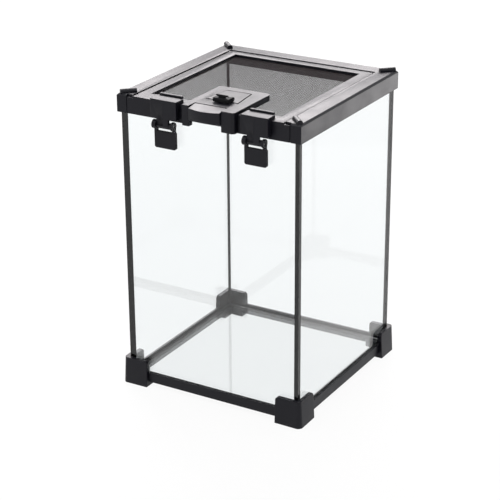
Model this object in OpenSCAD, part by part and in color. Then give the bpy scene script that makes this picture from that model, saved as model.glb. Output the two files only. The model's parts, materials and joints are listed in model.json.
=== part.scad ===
// Small glass terrarium: five glued panes in a plastic base and top frame, a hinged mesh lid
// held by two front latches, and a hatch on the lid with a feeding door.
// Millimetres, +Z up, +X along the front, +Y to the back. The origin is on the table, under
// the middle of the whole outline.

/* [Tank] */
// Outer width of the glass box
tank_w = 188; // [176:2:230]
// Outer depth of the glass box
tank_d = 188; // [180:2:230]
// Height of the wall panes
pane_h = 274.5; // [160:0.5:360]
// Thickness of the wall panes
pane_t = 4; // [3:0.5:5]
// Thickness of the floor pane
floor_t = 4; // [3:0.5:5]
// Thickness of the silicone between a side pane and its neighbour
joint_t = 0.4; // [0.2:0.1:0.8]
// Leg of the silicone fillet in each corner
fillet_leg = 1.5; // [1:0.1:1.8]
// Width of the silicone strip round the floor pane
floor_strip_w = 2.4; // [2.1:0.1:3]

/* [Base] */
// Height of the pane seat above the table
seat_z = 9; // [7:0.5:12]
// Underside of the base rails above the table
rail_z = 5; // [4:0.5:6]
// Top of the base rails above the table
rail_top = 15; // [12:0.5:20]
// Thickness of the rail lip in front of the glass
rail_lip = 1.8; // [1.4:0.1:2.4]
// How far the rail seat reaches in under the floor pane
rail_seat = 9; // [8.5:0.5:14]
// Length of each side of a foot
foot_w = 28; // [24:0.5:34]
// Height of a foot
foot_h = 27; // [20:0.5:34]
// How far a foot stands out from the glass at the table
foot_reach = 6; // [4.5:0.1:7]
// How far a foot stands out from the glass at its top
foot_top_reach = 4.6; // [3:0.1:5.4]
// Radius of a foot's outer corner at the table
foot_round = 5; // [4:0.1:6]
// Bevel on the upper ends of a foot
foot_bevel = 2; // [1:0.5:3]

/* [Top frame] */
// How far the frame stands out from the glass
frame_reach = 3; // [2.6:0.1:4]
// Thickness of the frame above the glass
frame_cap = 13.2; // [12:0.1:16]
// Height of the frame's outer wall
frame_h = 18; // [15.5:0.5:24]
// Width of the side and back rails, seen from above
frame_rail = 16.5; // [15:0.1:20]
// Width of a front corner post
post_w = 10.8; // [9:0.1:12.5]
// Bevel on the frame's outer upper edge
frame_bevel = 1.9; // [1:0.1:2.6]
// Width of the ledge that carries the lid
ledge_w = 5.5; // [4:0.5:7]
// Thickness of the side rails' top, which is hollow underneath
rail_cap = 3.5; // [3:0.1:4.5]
// How far the frame reaches in past the side glass, under that top
side_grip = 2.5; // [2:0.1:3.5]
// Thickness of the wall inside the front glass
inner_lip_t = 2.5; // [1.6:0.1:2.8]
// Depth of the wall inside the front glass
inner_lip_h = 3.6; // [2:0.1:3.8]
// Radius of a stacking stud
stud_r = 2.7; // [2:0.1:2.9]
// Height of a stud's axis above the frame's top
stud_lift = 0.7; // [0:0.1:1]
// Length of a stacking stud
stud_len = 15.5; // [10:0.5:16]
// Distance of a stud's middle from the frame's corner, along each side
stud_inset = 8; // [6.8:0.1:8.4]

/* [Lid] */
// How far the lid's top lies below the frame's top
lid_drop = 0.6; // [0.4:0.1:1.5]
// Thickness of the lid frame
lid_t = 6; // [5.6:0.1:6.6]
// Width of the lid's side rails
lid_side_rail = 10.5; // [9.8:0.1:14]
// Width of the lid's back rail
lid_back_rail = 9.5; // [9:0.1:14]
// Width of the lid's front rail
lid_front_rail = 16; // [15:0.1:20]
// Thickness of the lid's front apron
apron_t = 2.3; // [1.6:0.1:2.3]
// Thickness of the mesh
mesh_t = 0.6; // [0.4:0.1:0.8]
// Depth of the mesh below the lid's top
mesh_drop = 2.7; // [2.2:0.1:2.8]
// How far the mesh reaches under the lid's rails
mesh_tuck = 5; // [3:0.5:6]
// Thickness of the ring that holds the mesh
retainer_t = 1.2; // [1:0.1:2.5]
// Width of the ring that holds the mesh
retainer_w = 4.6; // [3:0.1:4.8]
// Radius of a lid hinge pin
hinge_pin_r = 1.2; // [1:0.05:1.4]
// Length of a lid hinge pin
hinge_pin_len = 14; // [8:0.5:18]
// Radius of the lid's rounded back edge
hinge_edge_r = 2.2; // [2:0.05:2.4]

/* [Hatch] */
// How far the hatch and latches stand to the right of the middle
fit_shift = 5.6; // [0:0.1:6]
// Width of the hatch plate
hatch_w = 54.7; // [52:0.1:58]
// Depth of the hatch plate over the lid, from the lid's front face
hatch_d = 60; // [57:0.5:66]
// Thickness of the hatch plate above the lid
hatch_t = 2.8; // [2.6:0.1:3.6]
// Thickness of the hatch's side walls
hatch_wall = 2; // [1.5:0.1:2.5]
// How far the hatch's posts and the latches stand out from the lid
proud = 6.2; // [5.6:0.1:7]
// Width of the left post
post_left_w = 7.3; // [6:0.1:8]
// Width of the right post
post_right_w = 13.7; // [11:0.1:15]
// Corner radius of the hatch plate
hatch_round = 4; // [2:0.1:4.5]
// Height of the opening under the front pull
pull_gap = 4.2; // [4.1:0.1:6]
// How far the pull's arc stands out past the posts
pull_bow = 3.2; // [2:0.1:4]
// How far the back of the pull's top lies below the hatch plate
pull_drop = 0.4; // [0.2:0.1:1]
// How far the pull's top falls from its back edge to its front
pull_fall = 1.6; // [0.5:0.1:2]
// How far the pull's ends stand out past the posts
pull_out = 1.6; // [0.6:0.1:2.4]
// How far the pull reaches back over the lid
pull_back = 4.6; // [4:0.1:8]
// Thickness of the pull's lower edge
pull_edge = 1.6; // [1.2:0.1:2.5]
// Depth of the pull's upright front below its top
pull_face = 12.2; // [8:0.1:12.6]

/* [Feeding door] */
// Width of the door at its hinge
door_back_w = 25.4; // [24:0.2:28]
// Width of the door at its front
door_front_w = 32.6; // [30:0.2:35]
// Depth of the door from front edge to hinge axis
door_d = 29.2; // [27:0.1:31]
// Distance of the door's front edge behind the lid's front face
door_set = 20.5; // [19.5:0.1:22]
// Thickness of the door
door_t = 2.9; // [2.6:0.1:3]
// Gap round the door
door_gap = 0.5; // [0.4:0.05:0.8]
// Width of the lip that the door rests on
door_lip = 2.5; // [2:0.1:3]
// Radius of the door's hinge pin
door_pin_r = 0.7; // [0.5:0.05:0.8]
// Length of the door's hinge pin
door_pin_len = 34; // [31:0.5:36]
// Wall of the ring under the hatch
ring_wall = 1.5; // [1.2:0.1:2]
// Width of that ring's flange
ring_flange = 4; // [3:0.1:5]
// Thickness of that ring's flange
ring_flange_t = 1.5; // [1:0.1:2]

/* [Door lever] */
// Radius of the lever's barrel and of the two ears that hold it
lever_r = 1.9; // [1.7:0.1:2]
// Distance of the lever's axis behind the door's front edge
lever_set = 2.1; // [2:0.1:3]
// How far the lever's middle stands to the right of the hatch's middle
lever_shift = 1.4; // [0:0.1:2]
// Width of the lever
lever_w = 16.5; // [16:0.1:19]
// How far the lever reaches to the front of its axis
lever_lip = 9.1; // [7:0.1:10]
// Bevel on the lever's upper front edge
lever_bevel = 0.9; // [0.5:0.1:1.4]
// Height of the thumb tab above the lever
tab_h = 2.9; // [2.4:0.1:3.4]
// Width of the thumb tab at its top
tab_w = 12; // [9:0.1:12.4]
// Width of the thumb tab's stem
tab_stem = 7; // [5:0.1:8]
// Distance of the thumb tab behind the lever's front face
tab_set = 2.6; // [2:0.1:4]
// Thickness of the thumb tab
tab_t = 1.4; // [1.2:0.1:1.8]
// Width of each ear that holds the lever
ear_w = 2; // [1.6:0.1:2.4]
// Distance from the lever's middle to the inner side of each ear
ear_out = 3.9; // [3.7:0.1:4.4]
// Radius of the lever's pin
lever_pin_r = 0.8; // [0.6:0.05:0.85]

/* [Latches] */
// Distance between the middles of the two latches
latch_span = 95.3; // [93:0.1:99]
// Width of a latch block
latch_w = 28; // [27:0.1:30]
// Height of the latch block above the lid
latch_rise = 3.4; // [3:0.1:4]
// Height of the latch block's underside above the lid apron's edge
latch_lift = 2.8; // [2.6:0.1:3.6]
// How far the latch block reaches back over the lid
latch_back = 7.2; // [6:0.1:9]
// Height of the ridge at the back of the block
ridge_h = 1.8; // [1:0.1:2.4]
// Thickness of that ridge
ridge_t = 2.8; // [1.8:0.1:3.6]
// How far the ridge stops short of the block's two sides
ridge_in = 1.9; // [0.6:0.1:4]
// How far the left part of the block's front is set back
face_step = 0.25; // [0.1:0.05:0.4]
// Thickness of the neck that reaches down from the block
neck_t = 2.2; // [1.8:0.1:2.6]
// Drop of the flap's axis below the block's underside
axis_drop = 6.4; // [6:0.1:7]
// Radius of the knuckle at the neck's lower end
knuckle_r = 2.8; // [2.4:0.1:2.9]
// Radius of the flap's two ears
ear_r = 4.2; // [3.8:0.1:4.3]
// Width of a latch flap
flap_w = 23; // [22.5:0.1:25]
// How far the flap stands to the left of the block's middle
flap_shift = 0.7; // [0:0.1:1]
// Thickness of a latch flap
flap_t = 2.8; // [2.4:0.1:2.9]
// Length of a latch flap below its axis
flap_len = 22.8; // [18:0.1:30]
// Width of the flap's left ear
flap_ear_left = 4; // [3.5:0.1:4.5]
// Width of the flap's right ear
flap_ear_right = 1.8; // [1.4:0.1:2.2]
// How far the right ear is set in from the flap's edge
ear_set = 1; // [0.6:0.1:1.4]
// Length of the boss between the right ear and the knuckle
boss_len = 2.5; // [2:0.1:3]
// Width of the flap's left arm, beside the slot
arm_left = 3.2; // [2.6:0.1:3.6]
// Width of the flap's right arm
arm_right = 4; // [3:0.1:4.5]
// Height of the slot across the flap
slot_h = 2.5; // [2:0.1:3]
// Height of the flap's catch bar
bar_h = 2.3; // [1.8:0.1:2.4]
// Radius of a latch pin
latch_pin_r = 1.2; // [1:0.05:1.4]
// Width of the keeper that the catch bar bears on
keeper_w = 9; // [7:0.5:9]
// Thickness of that keeper
keeper_t = 2.3; // [1.8:0.1:2.4]

/* [Fits] */
// Clearance between pieces that are pushed or laid together
seat_gap = 0.3; // [0.2:0.05:0.4]
// Radial clearance of a pin in its bore
run_gap = 0.05; // [0.03:0.01:0.1]
// Sideways clearance between a knuckle and its ears
side_gap = 0.3; // [0.2:0.05:0.4]
// Gap between the lid and the top frame
lid_gap = 1.2; // [0.4:0.1:1.4]
// Gap between the lid's apron and the frame's corner posts
apron_gap = 0.6; // [0.4:0.05:1]

/* [Hidden] */
$fn = 48;
black = "#242427";
black_gloss = "#161618";
clear = [0.86, 0.94, 0.92, 0.35];
steel = "#9a9c9e";
mesh_grey = "#4a4a4c";
eps = 0.01;

// Glass box
gx = tank_w / 2;
gy = tank_d / 2;
pane_top = seat_z + pane_h;
floor_half_x = gx - pane_t - floor_strip_w - seat_gap / 2;
floor_half_y = gy - pane_t - floor_strip_w - seat_gap / 2;

// Top frame
fx = gx + frame_reach;
fy = gy + frame_reach;
frame_z = pane_top + seat_gap;
frame_top = frame_z + frame_cap;
frame_low = frame_top - frame_h;
open_x = fx - frame_rail;
open_y = fy - frame_rail;
ledge_top = frame_top - lid_drop - lid_t - seat_gap;
front_bar_y = gy + seat_gap;

// Lid
lid_top = frame_top - lid_drop;
lid_z = lid_top - lid_t;
lid_x = open_x - lid_gap;
lid_y = open_y - lid_gap;
apron_x = fx - post_w - apron_gap;
win_x = lid_x - lid_side_rail;
win_back = lid_y - lid_back_rail;
win_front = -fy + lid_front_rail;
mesh_top = lid_top - mesh_drop;
mesh_z = mesh_top - mesh_t;
hinge_y = lid_y - hinge_edge_r;
hinge_z = lid_top - hinge_edge_r + 0.7;
hinge_pin_mid = open_x;

// Hatch
hatch_left = fit_shift - hatch_w / 2;
hatch_right = fit_shift + hatch_w / 2;
front_y = -fy - proud;
hatch_back_y = -fy + hatch_d;
hatch_top = lid_top + hatch_t;
notch_left = hatch_left + post_left_w;
notch_right = hatch_right - post_right_w;
pull_z = frame_low + pull_gap;
pull_top = hatch_top - pull_drop;
pull_mid_z = pull_top - pull_face;
pull_x1 = notch_left + seat_gap;
pull_x2 = notch_right - seat_gap;

// Feeding door
door_x = fit_shift - 1;
door_front_y = -fy + door_set;
door_axis_y = door_front_y + door_d;
door_z = lid_top + 0.2;
door_top = door_z + door_t;
door_edge_r = door_t / 2;
door_axis_z = door_z + door_edge_r;

// Door lever
lever_y = door_front_y + lever_set;
lever_low = door_top + seat_gap;
lever_z = lever_low + lever_r;
lever_top = lever_z + lever_r;
lever_mid = fit_shift + lever_shift;

// Latches
block_z = frame_low + latch_lift;
axis_z = block_z - axis_drop;
axis_y = front_y + knuckle_r;
flap_y = -front_bar_y - keeper_t - seat_gap - flap_t;
flap_left = -flap_w / 2 - flap_shift;
flap_right = flap_w / 2 - flap_shift;
flap_low = axis_z - flap_len;
ear_left = flap_left + flap_ear_left;
ear_right = flap_right - ear_set;
neck_left = ear_left + side_gap;
neck_right = ear_right - flap_ear_right - boss_len - side_gap;
bar_y = axis_y + 1.2;
bar_low = axis_z - knuckle_r - 1.3;
bar_top = bar_low + bar_h;
slot_low = bar_low - slot_h;
keeper_low = bar_low - 0.4;
keeper_mid = neck_left + keeper_w / 2;
face_line = -1;

// The whole outline: its middle is the origin
pull_reach = proud + pull_bow + pull_out;
centre_y = (pull_reach + fy - gy - foot_reach) / 2;

// Puts a piece that is drawn about the tank's own middle into the part's frame
module place() { translate([0, centre_y, 0]) children(); }

// A box between two corners
module span(low, high) { translate(low) cube(high - low); }

// A rod along X between two places
module rod_x(r, x1, x2, y, z) {
    translate([x1, y, z]) rotate([0, 90, 0]) cylinder(r = r, h = x2 - x1);
}

// An upright slab between two places along X, whose outline is given in Y and Z
module slab_x(points, x1, x2) {
    translate([x1, 0, 0]) rotate([90, 0, 90]) linear_extrude(x2 - x1) polygon(points);
}

// A slab between two places along Y, whose outline is given in X and Z
module slab_y(points, y1, y2) {
    translate([0, y2, 0]) rotate([90, 0, 0]) linear_extrude(y2 - y1) polygon(points);
}

// Sends what is drawn at the front left to another corner
module corner(side, end) {
    mirror([side > 0 ? 1 : 0, 0, 0]) mirror([0, end > 0 ? 1 : 0, 0]) children();
}

// ---------- glass ----------

module pane_across(end) {
    y = end > 0 ? gy - pane_t : -gy;
    span([-gx, y, seat_z], [gx, y + pane_t, pane_top]);
}

module pane_along(side) {
    x = side > 0 ? gx - pane_t : -gx;
    half = gy - pane_t - joint_t;
    span([x, -half, seat_z], [x + pane_t, half, pane_top]);
}

module glass_front() { place() color(clear) pane_across(-1); }
module glass_back() { place() color(clear) pane_across(1); }
module glass_left() { place() color(clear) pane_along(-1); }
module glass_right() { place() color(clear) pane_along(1); }

module glass_floor() {
    place() color(clear)
        span([-floor_half_x, -floor_half_y, seat_z], [floor_half_x, floor_half_y, seat_z + floor_t]);
}

// Silicone in a corner: the glue line, and a fillet from the floor pane up to the frame
module corner_seam(side, end) {
    z1 = seat_z + floor_t;
    z2 = frame_z - inner_lip_h - seat_gap;
    ix = -gx + pane_t;
    iy = -gy + pane_t;
    corner(side, end) {
        span([-gx, iy, seat_z], [ix, iy + joint_t, pane_top]);
        translate([0, 0, z1]) linear_extrude(z2 - z1)
            polygon([[ix - eps, iy], [ix + fillet_leg, iy], [ix, iy + fillet_leg],
                     [ix, iy + joint_t], [ix - eps, iy + joint_t]]);
    }
}

module corner_seam_front_left() { place() color(black) corner_seam(-1, -1); }
module corner_seam_front_right() { place() color(black) corner_seam(1, -1); }
module corner_seam_back_left() { place() color(black) corner_seam(-1, 1); }
module corner_seam_back_right() { place() color(black) corner_seam(1, 1); }

// Silicone strips between the floor pane and the walls
module floor_seal() {
    half_x = gx - pane_t;
    half_y = gy - pane_t - floor_strip_w;
    place() color(black) for (s = [-1, 1]) {
        y1 = s > 0 ? half_y : -half_y - floor_strip_w;
        x1 = s > 0 ? half_x - floor_strip_w : -half_x;
        span([-half_x, y1, seat_z], [half_x, y1 + floor_strip_w, seat_z + floor_t]);
        span([x1, -half_y, seat_z], [x1 + floor_strip_w, half_y, seat_z + floor_t]);
    }
}

// ---------- base ----------

// Cross-section of a rail: a lip outside the glass and a seat under it; u is inwards
function rail_profile(g) = [
    [-g - seat_gap / 2 - rail_lip, rail_z], [-g + rail_seat, rail_z],
    [-g + rail_seat, seat_z], [-g - seat_gap / 2, seat_z],
    [-g - seat_gap / 2, rail_top], [-g - seat_gap / 2 - rail_lip, rail_top]];

rail_half_x = gx + foot_reach - foot_w - seat_gap;
rail_half_y = gy + foot_reach - foot_w - seat_gap;

module base_rail_front() { place() color(black) slab_x(rail_profile(gy), -rail_half_x, rail_half_x); }
module base_rail_back() {
    place() color(black) mirror([0, 1, 0]) slab_x(rail_profile(gy), -rail_half_x, rail_half_x);
}
module base_rail_left() { place() color(black) slab_y(rail_profile(gx), -rail_half_y, rail_half_y); }
module base_rail_right() {
    place() color(black) mirror([1, 0, 0]) slab_y(rail_profile(gx), -rail_half_y, rail_half_y);
}

// One side of a foot, with a sloping front and a bevel on its upper end
module foot_side(g, length) {
    out = -g - foot_reach;
    top = -g - foot_top_reach;
    inner = -g + rail_seat;
    intersection() {
        slab_x([[out, 0], [inner, 0], [inner, foot_h], [top, foot_h]], 0, length);
        slab_y([[0, 0], [length, 0], [length, foot_h - foot_bevel], [length - foot_bevel, foot_h],
                [0, foot_h]], out, inner);
    }
}

// One foot: a tapered corner of two sides, cut away for the two panes
module foot(side, end) {
    out_x = -gx - foot_reach;
    out_y = -gy - foot_reach;
    slot = seat_gap / 2;
    corner(side, end) difference() {
        union() {
            translate([out_x + foot_round, out_y + foot_round, 0])
                cylinder(r1 = foot_round, r2 = foot_round - foot_reach + foot_top_reach, h = foot_h);
            translate([out_x + foot_round, 0, 0]) foot_side(gy, foot_w - foot_round);
            translate([0, out_y + foot_round, 0]) mirror([1, -1, 0])
                foot_side(gx, foot_w - foot_round);
        }
        span([-gx - slot, -gy - slot, seat_z], [0, 0, foot_h + 1]);
    }
}

module foot_front_left() { place() color(black) foot(-1, -1); }
module foot_front_right() { place() color(black) foot(1, -1); }
module foot_back_left() { place() color(black) foot(-1, 1); }
module foot_back_right() { place() color(black) foot(1, 1); }

// ---------- top frame ----------

// Block with its four upper outer edges bevelled
module bevelled_block(x, y, z1, z2, bevel) {
    intersection() {
        slab_x([[-y, z1], [y, z1], [y, z2 - bevel], [y - bevel, z2], [-y + bevel, z2],
                [-y, z2 - bevel]], -x, x);
        slab_y([[-x, z1], [x, z1], [x, z2 - bevel], [x - bevel, z2], [-x + bevel, z2],
                [-x, z2 - bevel]], -y, y);
    }
}

// Middle line of a stud, from the corner towards the middle of the lid
module stud(side, end, r) {
    corner(side, end) translate([-fx + stud_inset, -fy + stud_inset, frame_top + stud_lift])
        rotate([0, 0, 45]) rotate([0, 90, 0]) cylinder(r = r, h = stud_len, center = true);
}

module each_corner() {
    for (side = [-1, 1]) for (end = [-1, 1]) { $side = side; $end = end; children(); }
}

// The keepers in front of the bar, one behind each latch's neck
module keeper(x) {
    span([x - keeper_w / 2, -front_bar_y - keeper_t, keeper_low],
         [x + keeper_w / 2, -front_bar_y + eps, ledge_top]);
}

module top_frame() {
    lip_y = gy - pane_t - seat_gap;
    lip_x = gx - pane_t - seat_gap;
    hollow_x = gx - pane_t - side_grip;
    place() color(black) difference() {
        union() {
            difference() {
                bevelled_block(fx, fy, frame_low, frame_top, frame_bevel);
                // the glass and the room inside it
                span([-gx - seat_gap, -gy - seat_gap, frame_low - 1],
                     [gx + seat_gap, gy + seat_gap, frame_z]);
                // the opening under the lid
                span([-open_x + ledge_w, -open_y + ledge_w, frame_low],
                     [open_x - ledge_w, open_y - ledge_w, frame_top + 1]);
                // the side rails are hollow from below
                span([-hollow_x, -open_y + ledge_w, frame_low],
                     [hollow_x, open_y - ledge_w, frame_top - rail_cap]);
                // the lid's seat, open to the front
                span([-open_x, -fy - 1, ledge_top], [open_x, open_y, frame_top + 1]);
                // room for the lid's apron between the corner posts
                span([-fx + post_w, -fy - 1, frame_low - 1],
                     [fx - post_w, -front_bar_y, frame_top + 1]);
            }
            span([-lip_x, -lip_y, frame_z - inner_lip_h],
                 [lip_x, -lip_y + inner_lip_t, frame_z + eps]);
            for (s = [-1, 1]) keeper(fit_shift + s * latch_span / 2 + keeper_mid);
        }
        each_corner() stud($side, $end, stud_r + run_gap);
        for (s = [-1, 1])
            rod_x(hinge_pin_r + run_gap, s > 0 ? hinge_pin_mid : -hinge_pin_mid - hinge_pin_len / 2,
                  s > 0 ? hinge_pin_mid + hinge_pin_len / 2 : -hinge_pin_mid, hinge_y, hinge_z);
    }
}

module stacking_studs() { place() color(black) each_corner() stud($side, $end, stud_r); }

// ---------- lid ----------

module lid_frame() {
    place() color(black) difference() {
        union() {
            // flat part, with a rounded back edge that turns clear of the frame
            slab_x([[-fy, lid_z], [lid_y - lid_t, lid_z], [hinge_y, hinge_z - hinge_edge_r],
                    [hinge_y, lid_top], [-fy, lid_top]], -lid_x, lid_x);
            intersection() {
                rod_x(hinge_edge_r, -lid_x, lid_x, hinge_y, hinge_z);
                span([-lid_x, hinge_y - lid_t, lid_z], [lid_x, lid_y + 1, lid_top]);
            }
            // apron down the front, with a tab at each end
            span([-apron_x, -fy, frame_low], [apron_x, -fy + apron_t, lid_z + eps]);
            span([-apron_x, -fy, lid_z], [apron_x, -fy + apron_t, lid_top - 1.5]);
        }
        span([-win_x, win_front, lid_z - 1], [win_x, win_back, lid_top + 1]);
        // seat of the mesh and its ring
        span([-win_x - mesh_tuck, win_front - mesh_tuck, lid_z - 1],
             [win_x + mesh_tuck, win_back + mesh_tuck, mesh_top]);
        // room for the keepers behind the latches
        for (s = [-1, 1]) {
            x = fit_shift + s * latch_span / 2 + keeper_mid;
            span([x - keeper_w / 2 - 1, -fy - 1, frame_low - 1],
                 [x + keeper_w / 2 + 1, -fy + apron_t + 1, lid_z]);
        }
        // finger gap under the pull, which starts behind the left post
        span([notch_left - apron_t, -fy - 1, frame_low - 1],
             [notch_right, -fy + apron_t + 1, pull_z]);
        for (s = [-1, 1])
            rod_x(hinge_pin_r + run_gap, s > 0 ? hinge_pin_mid - hinge_pin_len / 2 : -lid_x - 1,
                  s > 0 ? lid_x + 1 : -hinge_pin_mid + hinge_pin_len / 2, hinge_y, hinge_z);
    }
}

// Outline of the feeding door, grown by a margin, between two heights
module door_prism(margin, z1, z2) {
    back = door_back_w / 2 + margin;
    front = door_front_w / 2 + margin;
    y1 = door_front_y - margin;
    y2 = door_axis_y + margin;
    translate([door_x, 0, z1]) linear_extrude(z2 - z1)
        polygon([[-front, y1], [front, y1], [back, y2], [-back, y2]]);
}

spigot_margin = -door_lip;

module lid_mesh() {
    gap = seat_gap / 2;
    place() color(mesh_grey) difference() {
        span([-win_x - mesh_tuck + gap, win_front - mesh_tuck + gap, mesh_z],
             [win_x + mesh_tuck - gap, win_back + mesh_tuck - gap, mesh_top]);
        door_prism(spigot_margin + gap, mesh_z - 1, mesh_top + 1);
    }
}

module mesh_retainer() {
    gap = seat_gap / 2;
    out_x = win_x + mesh_tuck - gap;
    place() color(black) difference() {
        span([-out_x, win_front - mesh_tuck + gap, mesh_z - retainer_t],
             [out_x, win_back + mesh_tuck - gap, mesh_z]);
        span([-out_x + retainer_w, win_front - mesh_tuck + gap + retainer_w, lid_z - 1],
             [out_x - retainer_w, win_back + mesh_tuck - gap - retainer_w, mesh_top]);
    }
}

module lid_hinge_pin(side) {
    rod_x(hinge_pin_r, side * hinge_pin_mid - hinge_pin_len / 2 + 1,
          side * hinge_pin_mid + hinge_pin_len / 2 - 1, hinge_y, hinge_z);
}
module lid_hinge_pin_left() { place() color(steel) lid_hinge_pin(-1); }
module lid_hinge_pin_right() { place() color(steel) lid_hinge_pin(1); }

// ---------- hatch ----------

// Plan of the hatch plate with its round corners
module hatch_plan(z1, z2) {
    r = hatch_round;
    translate([0, 0, z1]) linear_extrude(z2 - z1) union() {
        translate([hatch_left, front_y]) square([hatch_w - r, hatch_d + proud - r]);
        translate([hatch_left + r, front_y + r]) square([hatch_w - r, hatch_d + proud - 2 * r]);
        translate([hatch_left + r, front_y + r]) square([hatch_w - 2 * r, hatch_d + proud - r]);
        translate([hatch_left + r, hatch_back_y - r]) circle(r = r);
        translate([hatch_right - r, hatch_back_y - r]) circle(r = r);
        translate([hatch_right - r, front_y + r]) circle(r = r);
    }
}

module hatch_plate() {
    wall_front = win_front + seat_gap;
    pin_low = door_x - door_pin_len / 2 - 0.5;
    place() color(black) difference() {
        union() {
            hatch_plan(lid_top, hatch_top);
            // posts in front of the lid
            intersection() {
                hatch_plan(frame_low + 0.5, hatch_top);
                union() {
                    span([hatch_left - 1, front_y - 1, frame_low], [notch_left, -fy, hatch_top]);
                    span([notch_right, front_y - 1, frame_low], [hatch_right + 1, -fy, hatch_top]);
                }
            }
            // side walls down to the mesh
            difference() {
                hatch_plan(mesh_top, hatch_top);
                span([hatch_left + hatch_wall, front_y - 1, mesh_top - 1],
                     [hatch_right - hatch_wall, hatch_back_y - hatch_wall, lid_top]);
                span([hatch_left - 1, front_y - 1, mesh_top - 1],
                     [hatch_right + 1, wall_front, lid_top]);
            }
            // collar under the door
            intersection() {
                door_prism(ring_flange, mesh_top, hatch_top);
                span([hatch_left, wall_front, mesh_top], [hatch_right, hatch_back_y, hatch_top]);
            }
        }
        door_prism(door_gap, door_z - seat_gap, hatch_top + 1);
        span([door_x - door_back_w / 2 - door_gap, door_axis_y, door_z - seat_gap],
             [door_x + door_back_w / 2 + door_gap, door_axis_y + door_edge_r + door_gap,
              hatch_top + 1]);
        door_prism(spigot_margin, mesh_top - 1, hatch_top + 1);
        // room for the pull between the posts
        span([notch_left, front_y - 1, pull_z], [notch_right, -fy + pull_back + seat_gap, hatch_top + 1]);
        rod_x(door_pin_r + run_gap, pin_low, door_x + door_pin_len / 2 + 0.5,
              door_axis_y, door_axis_z);
    }
}

// Ring under the mesh, whose spigot fits inside the hatch's collar
module hatch_ring() {
    fit = seat_gap / 2;
    place() color(black) difference() {
        union() {
            intersection() {
                door_prism(ring_flange, mesh_z - ring_flange_t, mesh_z);
                span([hatch_left, win_front + 1, mesh_z - ring_flange_t],
                     [hatch_right, hatch_back_y, mesh_z]);
            }
            door_prism(spigot_margin - fit, mesh_z - eps, door_z - 2 * seat_gap);
        }
        door_prism(spigot_margin - fit - ring_wall, mesh_z - ring_flange_t - 1, hatch_top);
    }
}

// Plan of the pull: straight at the back and sides, an arc in front
module pull_plan(back, bow, z1, z2) {
    half = (pull_x2 - pull_x1) / 2;
    r = (half * half + bow * bow) / (2 * bow);
    mid = (pull_x1 + pull_x2) / 2;
    edge = front_y - pull_out;
    translate([0, 0, z1]) linear_extrude(z2 - z1) intersection() {
        translate([mid, edge - bow + r]) circle(r = r, $fn = 120);
        translate([pull_x1, edge - bow - 1]) square([pull_x2 - pull_x1, back - edge + bow + 1]);
    }
}

module front_pull() {
    back = -fy + pull_back;
    tip = front_y - pull_out - pull_bow - 1;
    place() color(black) difference() {
        union() {
            pull_plan(back, pull_bow, lid_top, pull_top);
            hull() {
                pull_plan(-fy, pull_bow, pull_mid_z, pull_top);
                span([pull_x1, -fy - pull_edge, pull_z], [pull_x2, -fy, pull_z + 1]);
            }
        }
        // the top falls towards the front
        slab_x([[back, pull_top], [back, pull_top + 1], [tip, pull_top + 1],
                [tip, pull_top - pull_fall]], pull_x1 - 1, pull_x2 + 1);
    }
}

// ---------- feeding door ----------

module door_ear(x) {
    rod_x(lever_r, x, x + ear_w, lever_y, lever_z);
    span([x, lever_y - lever_r, door_top - eps], [x + ear_w, lever_y + lever_r, lever_z]);
}

module feeding_door() {
    place() color(black) difference() {
        union() {
            difference() {
                door_prism(0, door_z, door_top);
                span([door_x - door_front_w, door_axis_y, door_z - 1],
                     [door_x + door_front_w, door_axis_y + 5, door_top + 1]);
            }
            rod_x(door_edge_r, door_x - door_back_w / 2, door_x + door_back_w / 2,
                  door_axis_y, door_axis_z);
            door_ear(lever_mid - ear_out - ear_w);
            door_ear(lever_mid + ear_out);
        }
        rod_x(door_pin_r + run_gap, door_x - door_back_w, door_x + door_back_w,
              door_axis_y, door_axis_z);
        rod_x(lever_pin_r + run_gap, lever_mid - ear_out - ear_w - 1,
              lever_mid + ear_out + ear_w + 1, lever_y, lever_z);
    }
}

module door_hinge_pin() {
    place() color(steel) rod_x(door_pin_r, door_x - door_pin_len / 2, door_x + door_pin_len / 2,
                               door_axis_y, door_axis_z);
}

// Lever on the door: a thick plate, and at its back a barrel in three lengths with the door's
// ears between them
module door_lever() {
    left = lever_mid - lever_w / 2;
    right = lever_mid + lever_w / 2;
    front = lever_y - lever_lip;
    tab_top = lever_top + tab_h;
    wing_z = tab_top - 1.2;
    neck_z = wing_z - 0.8;
    place() color(black_gloss) difference() {
        union() {
            rod_x(lever_r, left, right, lever_y, lever_z);
            slab_x([[front, lever_low], [lever_y, lever_low], [lever_y, lever_top],
                    [front + lever_bevel, lever_top], [front, lever_top - lever_bevel]], left, right);
            // thumb tab, wider at its top
            translate([lever_mid, front + tab_set, 0]) slab_y(
                [[-tab_stem / 2, lever_z], [tab_stem / 2, lever_z], [tab_stem / 2, neck_z],
                 [tab_w / 2, wing_z], [tab_w / 2, tab_top], [-tab_w / 2, tab_top],
                 [-tab_w / 2, wing_z], [-tab_stem / 2, neck_z]], 0, tab_t);
        }
        // room for the door's ears
        for (s = [-1, 1]) {
            x = lever_mid + s * (ear_out + ear_w / 2);
            span([x - ear_w / 2 - side_gap, lever_y - lever_r - seat_gap, lever_low - 1],
                 [x + ear_w / 2 + side_gap, lever_y + lever_r + 1, lever_top + 1]);
        }
        rod_x(lever_pin_r + run_gap, left - 1, right + 1, lever_y, lever_z);
    }
}

module lever_pin() {
    place() color(steel) rod_x(lever_pin_r, lever_mid - lever_w / 2 + 0.4,
                               lever_mid + lever_w / 2 - 0.4, lever_y, lever_z);
}

// ---------- latches ----------

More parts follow.
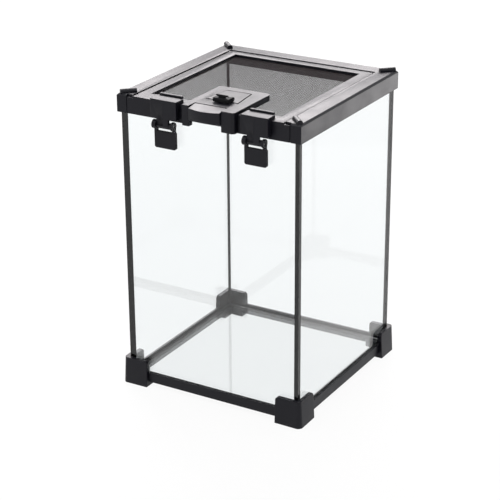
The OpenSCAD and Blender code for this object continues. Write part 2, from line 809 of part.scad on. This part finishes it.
// Block on the lid's front rail, with a neck and knuckle under it; drawn about x = 0
module latch_clip() {
    half = latch_w / 2;
    back_y = -fy + latch_back;
    difference() {
        union() {
            span([-half, front_y, block_z], [half, -fy, lid_top + latch_rise]);
            span([-half, -fy - eps, lid_top], [half, back_y, lid_top + latch_rise]);
            span([-half + ridge_in, back_y - eps, lid_top],
                 [half - ridge_in, back_y + ridge_t, lid_top + latch_rise + ridge_h]);
            span([neck_left, front_y, axis_z], [neck_right, front_y + neck_t, block_z + eps]);
            rod_x(knuckle_r, neck_left, neck_right, axis_y, axis_z);
        }
        rod_x(latch_pin_r + run_gap, neck_left - 1, neck_right + 1, axis_y, axis_z);
        // the left part of the front, set back
        span([-half - 1, front_y - 1, axis_z], [face_line, front_y + face_step, lid_top + latch_rise + 1]);
    }
}

// Flap with two ears, a slot, and a catch bar under the knuckle; drawn about x = 0
module latch_flap() {
    r = 2.2;
    width = flap_right - flap_left;
    arm = axis_z - slot_low + eps;
    boss_left = ear_right - flap_ear_right - boss_len;
    difference() {
        union() {
            // plate with its lower corners rounded, and its two arms
            translate([flap_left, flap_y + flap_t, 0]) rotate([90, 0, 0]) linear_extrude(flap_t) union() {
                translate([0, flap_low + r]) square([width, slot_low - flap_low - r]);
                translate([r, flap_low]) square([width - 2 * r, r + 1]);
                for (x = [r, width - r]) translate([x, flap_low + r]) circle(r = r);
                translate([0, slot_low - eps]) square([arm_left, arm]);
                translate([width - arm_right, slot_low - eps]) square([arm_right - ear_set, arm]);
            }
            rod_x(ear_r, flap_left, ear_left, axis_y, axis_z);
            rod_x(ear_r, ear_right - flap_ear_right, ear_right, axis_y, axis_z);
            rod_x(knuckle_r, boss_left, ear_right, axis_y, axis_z);
            difference() {
                span([flap_left + eps, bar_y, bar_low], [ear_right - eps, flap_y + flap_t, bar_top]);
                rod_x(knuckle_r + seat_gap, ear_left, boss_left, axis_y, axis_z);
            }
        }
        rod_x(latch_pin_r + run_gap, flap_left - 1, ear_right + 1, axis_y, axis_z);
    }
}

module latch_pin() {
    rod_x(latch_pin_r, flap_left + 0.8, ear_right - 0.6, axis_y, axis_z);
}

module at_latch(side) { translate([fit_shift + side * latch_span / 2, 0, 0]) children(); }

module latch_clip_left() { place() color(black) at_latch(-1) latch_clip(); }
module latch_clip_right() { place() color(black) at_latch(1) latch_clip(); }
module latch_flap_left() { place() color(black) at_latch(-1) latch_flap(); }
module latch_flap_right() { place() color(black) at_latch(1) latch_flap(); }
module latch_pin_left() { place() color(steel) at_latch(-1) latch_pin(); }
module latch_pin_right() { place() color(steel) at_latch(1) latch_pin(); }

glass_front();
glass_back();
glass_left();
glass_right();
glass_floor();
corner_seam_front_left();
corner_seam_front_right();
corner_seam_back_left();
corner_seam_back_right();
floor_seal();
base_rail_front();
base_rail_back();
base_rail_left();
base_rail_right();
foot_front_left();
foot_front_right();
foot_back_left();
foot_back_right();
top_frame();
stacking_studs();
lid_frame();
lid_mesh();
mesh_retainer();
lid_hinge_pin_left();
lid_hinge_pin_right();
hatch_plate();
hatch_ring();
front_pull();
feeding_door();
door_hinge_pin();
door_lever();
lever_pin();
latch_clip_left();
latch_flap_left();
latch_pin_left();
latch_clip_right();
latch_flap_right();
latch_pin_right();
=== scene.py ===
"""Looks of a small glass terrarium: plastic mouldings, clear panes, silicone and a woven screen."""
import json
import math

import bmesh
import bpy
from mathutils import Matrix, Vector

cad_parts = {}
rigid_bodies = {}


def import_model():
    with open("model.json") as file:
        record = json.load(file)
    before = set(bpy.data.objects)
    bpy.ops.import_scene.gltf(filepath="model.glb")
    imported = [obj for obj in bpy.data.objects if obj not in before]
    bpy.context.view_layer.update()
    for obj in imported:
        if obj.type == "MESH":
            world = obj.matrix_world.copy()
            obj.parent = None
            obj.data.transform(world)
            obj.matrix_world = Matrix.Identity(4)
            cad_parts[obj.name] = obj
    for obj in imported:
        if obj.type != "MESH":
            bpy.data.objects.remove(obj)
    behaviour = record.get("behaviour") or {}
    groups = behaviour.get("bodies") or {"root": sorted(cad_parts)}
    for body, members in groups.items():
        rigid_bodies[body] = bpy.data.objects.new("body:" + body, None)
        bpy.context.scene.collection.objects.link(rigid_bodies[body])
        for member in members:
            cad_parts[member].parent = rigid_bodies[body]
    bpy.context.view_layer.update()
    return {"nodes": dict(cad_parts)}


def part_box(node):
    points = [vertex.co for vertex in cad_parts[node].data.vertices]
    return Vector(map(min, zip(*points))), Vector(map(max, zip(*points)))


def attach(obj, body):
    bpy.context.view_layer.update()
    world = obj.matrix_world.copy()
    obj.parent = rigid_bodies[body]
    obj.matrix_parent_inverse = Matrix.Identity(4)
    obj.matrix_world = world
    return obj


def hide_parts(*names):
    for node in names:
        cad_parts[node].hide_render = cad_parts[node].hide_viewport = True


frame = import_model()
nodes = frame["nodes"]
scene = bpy.context.scene
scene.view_settings.view_transform = "Standard"
MM = 0.001
# points closer than this count as one
TOUCHING = 0.001 * MM
# the studio floor's half width in metres
FLOOR_HALF = 8.0


# ---------- camera ----------

# degrees: round from the tank's front to its right, up from the table, and tilt of the picture
VIEW_AZIMUTH = 30.57
VIEW_ELEVATION = 22.64
VIEW_ROLL = -0.33
# point in the middle of the picture, and how far off the camera stands
VIEW_TARGET = Vector((21.1, -52.7, 150.0)) * MM
VIEW_DISTANCE = 1530.6 * MM
# the camera's own millimetres
SENSOR_WIDTH = 36
FOCAL_LENGTH = 117.14


def aim_camera():
    """Camera at the photograph's angle, with its small roll."""
    azimuth, elevation, roll = (math.radians(a) for a in (VIEW_AZIMUTH, VIEW_ELEVATION, VIEW_ROLL))
    back = Vector((math.sin(azimuth) * math.cos(elevation),
                   -math.cos(azimuth) * math.cos(elevation), math.sin(elevation)))
    level = Vector((math.cos(azimuth), math.sin(azimuth), 0.0))
    up = back.cross(level)
    right = level * math.cos(roll) + up * math.sin(roll)
    up = back.cross(right)
    camera = bpy.data.objects.new("camera", bpy.data.cameras.new("camera"))
    scene.collection.objects.link(camera)
    place = VIEW_TARGET + back * VIEW_DISTANCE
    camera.matrix_world = Matrix((
        (right.x, up.x, back.x, place.x),
        (right.y, up.y, back.y, place.y),
        (right.z, up.z, back.z, place.z),
        (0, 0, 0, 1)))
    camera.data.sensor_width = SENSOR_WIDTH
    camera.data.lens = FOCAL_LENGTH
    camera.data.clip_end = 2.5 * FLOOR_HALF
    scene.camera = camera


aim_camera()


# ---------- materials ----------

# size, strength and depth of the fine grain that spark erosion leaves on a mould
GRAIN_SCALE = 2600.0
GRAIN_RELIEF = 0.08
GRAIN_DEPTH = 0.1 * MM
# size of the slow mottling, and how far it takes colour and roughness up and down
MOTTLE_SCALE = 34.0
MOTTLE_SWING = 0.16


def new_material(name):
    """A material with its node tree emptied but for the output."""
    mat = bpy.data.materials.new(name)
    mat.use_nodes = True
    tree = mat.node_tree
    tree.nodes.clear()
    out = tree.nodes.new("ShaderNodeOutputMaterial")
    return mat, tree, out


def add(tree, kind, **values):
    """A node of that kind. A value named after a socket goes to it, any other to a property."""
    node = tree.nodes.new(kind)
    for key, value in values.items():
        if key in node.inputs:
            node.inputs[key].default_value = value
        else:
            setattr(node, key, value)
    return node


def moulded_surface_group():
    """Fine grain, and a slow mottling of colour and roughness."""
    group = bpy.data.node_groups.new("moulded_surface", "ShaderNodeTree")
    face = group.interface
    for name, kind in (("Grain", "NodeSocketFloat"), ("Roughness", "NodeSocketFloat"),
                       ("Colour", "NodeSocketColor")):
        face.new_socket(name=name, in_out="INPUT", socket_type=kind)
    for name, kind in (("Colour", "NodeSocketColor"), ("Roughness", "NodeSocketFloat"),
                       ("Height", "NodeSocketFloat")):
        face.new_socket(name=name, in_out="OUTPUT", socket_type=kind)
    given = group.nodes.new("NodeGroupInput")
    result = group.nodes.new("NodeGroupOutput")
    place = group.nodes.new("ShaderNodeTexCoord")
    grain = add(group, "ShaderNodeTexNoise", Scale=GRAIN_SCALE, Detail=3.0, Roughness=0.6)
    mottle = add(group, "ShaderNodeTexNoise", Scale=MOTTLE_SCALE, Detail=5.0, Roughness=0.62)
    for texture in (grain, mottle):
        group.links.new(place.outputs["Object"], texture.inputs["Vector"])
    # noise stays mostly between 0.3 and 0.7
    tone = add(group, "ShaderNodeMapRange", **{
        "From Min": 0.3, "From Max": 0.7, "To Min": 1 - MOTTLE_SWING, "To Max": 1 + MOTTLE_SWING})
    group.links.new(mottle.outputs["Fac"], tone.inputs["Value"])
    shade = add(group, "ShaderNodeVectorMath", operation="SCALE")
    group.links.new(given.outputs["Colour"], shade.inputs[0])
    group.links.new(tone.outputs["Result"], shade.inputs["Scale"])
    group.links.new(shade.outputs["Vector"], result.inputs["Colour"])
    rough = add(group, "ShaderNodeMath", operation="MULTIPLY")
    group.links.new(given.outputs["Roughness"], rough.inputs[0])
    group.links.new(tone.outputs["Result"], rough.inputs[1])
    group.links.new(rough.outputs["Value"], result.inputs["Roughness"])
    height = add(group, "ShaderNodeMath", operation="MULTIPLY")
    group.links.new(grain.outputs["Fac"], height.inputs[0])
    group.links.new(given.outputs["Grain"], height.inputs[1])
    group.links.new(height.outputs["Value"], result.inputs["Height"])
    return group


moulded_surface = moulded_surface_group()


def opaque(name, colour, roughness, specular=0.5, grain=1.0, metallic=0.0):
    """Plastic, rubber or metal of one colour, with the moulded surface."""
    mat, tree, out = new_material(name)
    shader = add(tree, "ShaderNodeBsdfPrincipled", **{
        "Specular IOR Level": specular, "Metallic": metallic})
    skin = tree.nodes.new("ShaderNodeGroup")
    skin.node_tree = moulded_surface
    skin.inputs["Colour"].default_value = (*colour, 1)
    skin.inputs["Roughness"].default_value = roughness
    skin.inputs["Grain"].default_value = grain
    relief = add(tree, "ShaderNodeBump", Strength=GRAIN_RELIEF, Distance=GRAIN_DEPTH)
    tree.links.new(skin.outputs["Colour"], shader.inputs["Base Color"])
    tree.links.new(skin.outputs["Roughness"], shader.inputs["Roughness"])
    tree.links.new(skin.outputs["Height"], relief.inputs["Height"])
    tree.links.new(relief.outputs["Normal"], shader.inputs["Normal"])
    tree.links.new(shader.outputs["BSDF"], out.inputs["Surface"])
    return mat


black_plastic = opaque("black_plastic", (0.0050, 0.0050, 0.0085), 0.40, specular=0.22)
matt_plastic = opaque("matt_black_plastic", (0.012, 0.012, 0.0135), 0.5, specular=0.05, grain=0.6)
silicone = opaque("black_silicone", (0.004, 0.004, 0.0045), 0.5, specular=0.12, grain=0.6)
steel = opaque("bright_pin", (0.55, 0.55, 0.56), 0.3, grain=0.3, metallic=1.0)
black_wire = opaque("screen_wire", (0.019, 0.011, 0.013), 0.45, specular=0.3, grain=0.5)


def clear_glass():
    """Clear float glass with a faint tint of grey and green."""
    mat, tree, out = new_material("clear_glass")
    shader = add(tree, "ShaderNodeBsdfPrincipled", **{
        "Base Color": (0.935, 0.950, 0.953, 1), "Roughness": 0.0, "IOR": 1.5,
        "Transmission Weight": 1.0})
    tree.links.new(shader.outputs["BSDF"], out.inputs["Surface"])
    return mat


glass = clear_glass()


def finish_of(node):
    """The material of a CAD node, told by the kind of piece that its name says."""
    if node.startswith("glass_"):
        return glass
    if node.startswith("corner_seam") or node == "floor_seal":
        return silicone
    if node.endswith("_pin") or "_pin_" in node:
        return steel
    return {"door_lever": matt_plastic, "lid_mesh": black_wire}.get(node, black_plastic)


for node, cad_piece in nodes.items():
    cad_piece.data.materials.clear()
    cad_piece.data.materials.append(finish_of(node))


# ---------- mouldings with rounded edges ----------

# an edge is rounded where its faces turn by more than this, in degrees, and it is this long, in mm
SHARP_FROM = 30
LONG_FROM = 2.0
# triangles that turn by less than this, in degrees, are one flat face
FLAT_WITHIN = 0.5


def finish_piece(bm, name, mat, body, node_names, smooth):
    """Turns the bmesh into an object that stands for CAD nodes and rides on their body.

    Edges that turn by fewer degrees than smooth are shaded as one surface.
    """
    data = bpy.data.meshes.new(name)
    bm.to_mesh(data)
    bm.free()
    data.materials.append(mat)
    piece = bpy.data.objects.new(name, data)
    scene.collection.objects.link(piece)
    data.set_sharp_from_angle(angle=math.radians(smooth))
    for face in data.polygons:
        face.use_smooth = True
    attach(piece, body)
    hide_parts(*node_names)


def merged_copy(node):
    """The node's mesh with its triangles joined back into flat faces."""
    bm = bmesh.new()
    bm.from_mesh(nodes[node].data)
    bmesh.ops.remove_doubles(bm, verts=bm.verts, dist=TOUCHING)
    bmesh.ops.dissolve_limit(bm, angle_limit=math.radians(FLAT_WITHIN), verts=bm.verts, edges=bm.edges)
    return bm


def round_edges(bm, width):
    """Rounds the outward edges that are sharp and long enough."""
    picked = [edge for edge in bm.edges
              if edge.is_convex and edge.calc_length() >= LONG_FROM * MM
              and edge.calc_face_angle(0.0) > math.radians(SHARP_FROM)]
    bmesh.ops.bevel(bm, geom=picked, offset=width * MM, offset_type="OFFSET", segments=2,
                    profile=0.5, affect="EDGES", clamp_overlap=False, material=-1)
    bmesh.ops.dissolve_degenerate(bm, dist=TOUCHING / 2, edges=bm.edges)


def moulding(node, body, width):
    """The CAD node's own shape with its long edges rounded, by a width in mm."""
    bm = merged_copy(node)
    round_edges(bm, width)
    finish_piece(bm, "moulded_" + node, finish_of(node), body, [node], smooth=20.0)


moulding("top_frame", "tank", 0.25)
for end in ("front", "back"):
    for side in ("left", "right"):
        moulding("foot_%s_%s" % (end, side), "tank", 0.5)
moulding("lid_frame", "lid", 0.45)
moulding("hatch_plate", "lid", 0.4)
moulding("front_pull", "lid", 0.4)
for side in ("left", "right"):
    moulding("latch_clip_" + side, "lid", 0.4)
    moulding("latch_flap_" + side, "latch_flap_" + side, 0.3)
moulding("feeding_door", "feeding_door", 0.25)
moulding("door_lever", "door_lever", 0.3)


# ---------- woven screen ----------

# wire's thickness, and the distance from one wire to the next
WIRE = 0.34 * MM
PITCH = 1.55 * MM


def weave_strand(length):
    """One wire along X about the origin: a diamond section that steps over and under."""
    bm = bmesh.new()
    ring = bmesh.ops.create_circle(bm, cap_ends=True, segments=4, radius=WIRE / 2)["verts"]
    bmesh.ops.rotate(bm, verts=ring, matrix=Matrix.Rotation(math.radians(90), 3, "Y"))
    steps = round(length / PITCH)
    bmesh.ops.translate(bm, verts=ring, vec=(-steps * PITCH / 2, 0, WIRE / 2))
    front = bm.faces[:]
    for step in range(steps):
        # the first face stays as the wire's end, and the later ones would be walls inside it
        behind = front if step else []
        grown = bmesh.ops.extrude_face_region(bm, geom=front)["geom"]
        front = [item for item in grown if isinstance(item, bmesh.types.BMFace)]
        bmesh.ops.translate(bm, verts=list({v for face in front for v in face.verts}),
                            vec=(PITCH, 0, WIRE if step % 2 else -WIRE))
        bmesh.ops.delete(bm, geom=behind, context="FACES_ONLY")
    bmesh.ops.recalc_face_normals(bm, faces=bm.faces)
    return bm


def keep_beyond(strand, along, place, side):
    """A copy of the wire with only what lies beyond a place along it, its cut end closed."""
    bm = strand.copy()
    origin, outward = Vector((0, 0, 0)), Vector((0, 0, 0))
    origin[along], outward[along] = place, -side
    cut = bmesh.ops.bisect_plane(bm, geom=bm.verts[:] + bm.edges[:] + bm.faces[:], dist=TOUCHING / 10,
                                 plane_co=origin, plane_no=outward, clear_outer=True)["geom_cut"]
    bmesh.ops.holes_fill(bm, edges=[e for e in cut if isinstance(e, bmesh.types.BMEdge)], sides=8)
    return bm


def feeding_hole():
    """Corners of the screen's opening, in order round it, from the CAD screen."""
    low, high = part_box("lid_mesh")
    inside = {(round(v.co.x, 5), round(v.co.y, 5)) for v in nodes["lid_mesh"].data.vertices
              if low.x + MM < v.co.x < high.x - MM and low.y + MM < v.co.y < high.y - MM}
    centre = [sum(corner[axis] for corner in inside) / len(inside) for axis in (0, 1)]
    return sorted(inside, key=lambda c: math.atan2(c[1] - centre[1], c[0] - centre[0]))


def chord(outline, axis, value):
    """Where the line at that value of one axis enters and leaves the outline, or nothing."""
    crossed = []
    for a, b in zip(outline, outline[1:] + outline[:1]):
        if (a[axis] - value) * (b[axis] - value) < 0:
            part = (value - a[axis]) / (b[axis] - a[axis])
            crossed.append(a[1 - axis] + part * (b[1 - axis] - a[1 - axis]))
    return (min(crossed), max(crossed)) if crossed else None


def woven_screen():
    """Black wire cloth in the lid's window, cut out under the feeding door."""
    low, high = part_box("lid_mesh")
    middle = (low + high) / 2
    hole = feeding_hole()
    cloth = bmesh.new()
    carrier = bpy.data.meshes.new("strand")
    for along in (0, 1):
        across = 1 - along
        strand = weave_strand(high[along] - low[along] - PITCH)
        if along:
            bmesh.ops.rotate(strand, verts=strand.verts, matrix=Matrix.Rotation(math.radians(90), 3, "Z"))
        count = int((high[across] - low[across]) / PITCH)
        for index in range(count):
            wire = strand.copy()
            # neighbours go over and under in turn, and the two sets in opposite turns
            if (index + along) % 2:
                bmesh.ops.scale(wire, verts=wire.verts, vec=(1, 1, -1))
                bmesh.ops.reverse_faces(wire, faces=wire.faces)
            place = middle.copy()
            place[across] += (index - (count - 1) / 2) * PITCH
            bmesh.ops.translate(wire, verts=wire.verts, vec=place)
            gap = chord(hole, across, place[across])
            lengths = [wire]
            if gap:
                lengths = [keep_beyond(wire, along, gap[0], -1), keep_beyond(wire, along, gap[1], 1)]
                wire.free()
            for piece in lengths:
                piece.to_mesh(carrier)
                cloth.from_mesh(carrier)
                piece.free()
        strand.free()
    bpy.data.meshes.remove(carrier)
    finish_piece(cloth, "woven_screen", black_wire, "lid", ["lid_mesh"], smooth=60.0)


woven_screen()


# ---------- floor, backdrop and lamps ----------

# how much of the floor shows as plain white, and the paper's own tone under its shadows
FLOOR_WHITE = 0.93
PAPER_TONE = 0.93
# how far the floor lies below the feet
FLOOR_DROP = 0.2 * MM
# light from all round, where white is 1
ROUND_LIGHT = 0.55


def white_to_eye(tree, shaded, share):
    """Mixes plain white into a shader, as the camera, gloss and glass see it."""
    path = tree.nodes.new("ShaderNodeLightPath")
    direct = add(tree, "ShaderNodeMath", operation="MAXIMUM")
    seen = add(tree, "ShaderNodeMath", operation="MAXIMUM")
    tree.links.new(path.outputs["Is Camera Ray"], direct.inputs[0])
    tree.links.new(path.outputs["Is Glossy Ray"], direct.inputs[1])
    tree.links.new(direct.outputs["Value"], seen.inputs[0])
    tree.links.new(path.outputs["Is Transmission Ray"], seen.inputs[1])
    amount = add(tree, "ShaderNodeMath", operation="MULTIPLY")
    amount.inputs[1].default_value = share
    tree.links.new(seen.outputs["Value"], amount.inputs[0])
    kind = "ShaderNodeBackground" if shaded.bl_idname == "ShaderNodeBackground" else "ShaderNodeEmission"
    white = add(tree, kind, Color=(1, 1, 1, 1), Strength=1.0)
    mix = tree.nodes.new("ShaderNodeMixShader")
    tree.links.new(amount.outputs["Value"], mix.inputs["Fac"])
    tree.links.new(shaded.outputs[0], mix.inputs[1])
    tree.links.new(white.outputs[0], mix.inputs[2])
    return mix


def lay_floor():
    """Wide white floor just under the feet. Most of it shows plain white, and the rest its shade."""
    bm = bmesh.new()
    grid = bmesh.ops.create_grid(bm, x_segments=1, y_segments=1, size=FLOOR_HALF)["verts"]
    bmesh.ops.translate(bm, verts=grid, vec=(0, 0, -FLOOR_DROP))
    data = bpy.data.meshes.new("studio_floor")
    bm.to_mesh(data)
    bm.free()
    floor = bpy.data.objects.new("studio_floor", data)
    scene.collection.objects.link(floor)
    mat, tree, out = new_material("studio_floor")
    paper = add(tree, "ShaderNodeBsdfDiffuse", Color=(PAPER_TONE, PAPER_TONE, PAPER_TONE, 1))
    mix = white_to_eye(tree, paper, FLOOR_WHITE)
    tree.links.new(mix.outputs["Shader"], out.inputs["Surface"])
    data.materials.append(mat)


lay_floor()


def set_world():
    """Even light from all round, which shows as plain white."""
    world = bpy.data.worlds.new("studio")
    scene.world = world
    world.use_nodes = True
    tree = world.node_tree
    tree.nodes.clear()
    out = tree.nodes.new("ShaderNodeOutputWorld")
    soft = add(tree, "ShaderNodeBackground", Color=(1, 1, 1, 1), Strength=ROUND_LIGHT)
    mix = white_to_eye(tree, soft, 1.0)
    tree.links.new(mix.outputs["Shader"], out.inputs["Surface"])


set_world()


def add_lamp(name, place, aim, size, brightness, colour=(1, 1, 1)):
    """Soft rectangular lamp, in metres. Its brightness is what a mirror would show, and white is 1."""
    data = bpy.data.lights.new(name, "AREA")
    data.shape = "RECTANGLE"
    data.size, data.size_y = size
    data.energy = math.pi * size[0] * size[1] * brightness
    data.color = colour
    lamp = bpy.data.objects.new(name, data)
    scene.collection.objects.link(lamp)
    lamp.location = place
    lamp.rotation_euler = (Vector(aim) - Vector(place)).to_track_quat("-Z", "Y").to_euler()
    lamp.visible_camera = False
    lamp.visible_transmission = False
    return lamp


def keep_off_panes(lamp):
    """Leaves the panes out of the lamp's light, because it would show in them as a bright patch."""
    lit = bpy.data.collections.new("lit_by_" + lamp.name)
    for piece in scene.objects:
        if piece.type == "MESH" and not piece.name.startswith("glass_"):
            lit.objects.link(piece)
    lamp.light_linking.receiver_collection = lit


add_lamp("top_softbox", (0.1, -0.4, 2.2), (0, 0, 0.1), (2.0, 2.0), 1.5)
add_lamp("back_panel", (-0.95, 1.44, 1.55), (0, 0, 0.29), (1.9, 1.1), 12.2, (1.0, 0.955, 0.968))
side_card = add_lamp("low_side_card", (0.46, 0.66, 0.13), (0.097, 0, 0.28), (0.8, 0.26), 3.4,
                     (1.0, 0.975, 0.98))
keep_off_panes(side_card)
